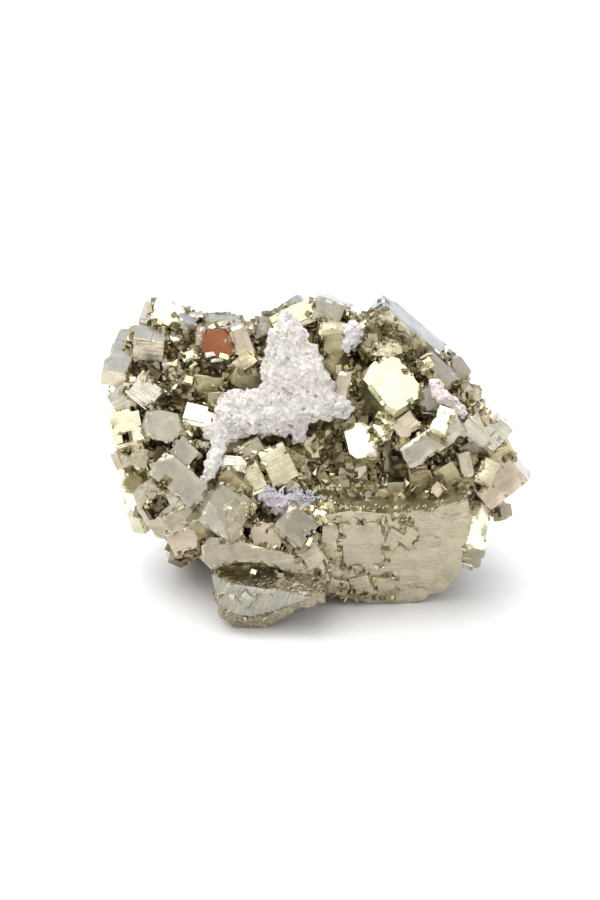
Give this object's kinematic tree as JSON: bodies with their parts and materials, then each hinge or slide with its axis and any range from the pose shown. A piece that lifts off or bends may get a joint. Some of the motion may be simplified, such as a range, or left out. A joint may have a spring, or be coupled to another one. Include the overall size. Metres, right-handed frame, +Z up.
{
  "type": "pyrite specimen",
  "caption": "Palm-sized cluster of intergrown pyrite cubes with pale gangue in its hollows, standing on ground flats.",
  "frame": {"origin": "centre of the bounding box in plan, on the surface the specimen stands on", "axes": "+X to the right as the display side is seen, -Y towards the viewer of the display side, +Z up"},
  "size_m": [0.0862, 0.0606, 0.0527],
  "materials": {
    "pyrite": "bright metallic, finely striated, darker and tarnished in the hollows",
    "pale_gangue": "granular, matt",
    "pink_crust": "crumbly, matt",
    "white_patch": "granular, matt",
    "lilac_quartz": "fine needles, satin"
  },
  "bodies": {
    "root": {"pyrite_cluster": "pyrite", "pale_matrix": "pale_gangue", "pale_crust": "pink_crust", "pale_patch": "white_patch", "quartz_druse": "lilac_quartz"}
  },
  "joints": []
}
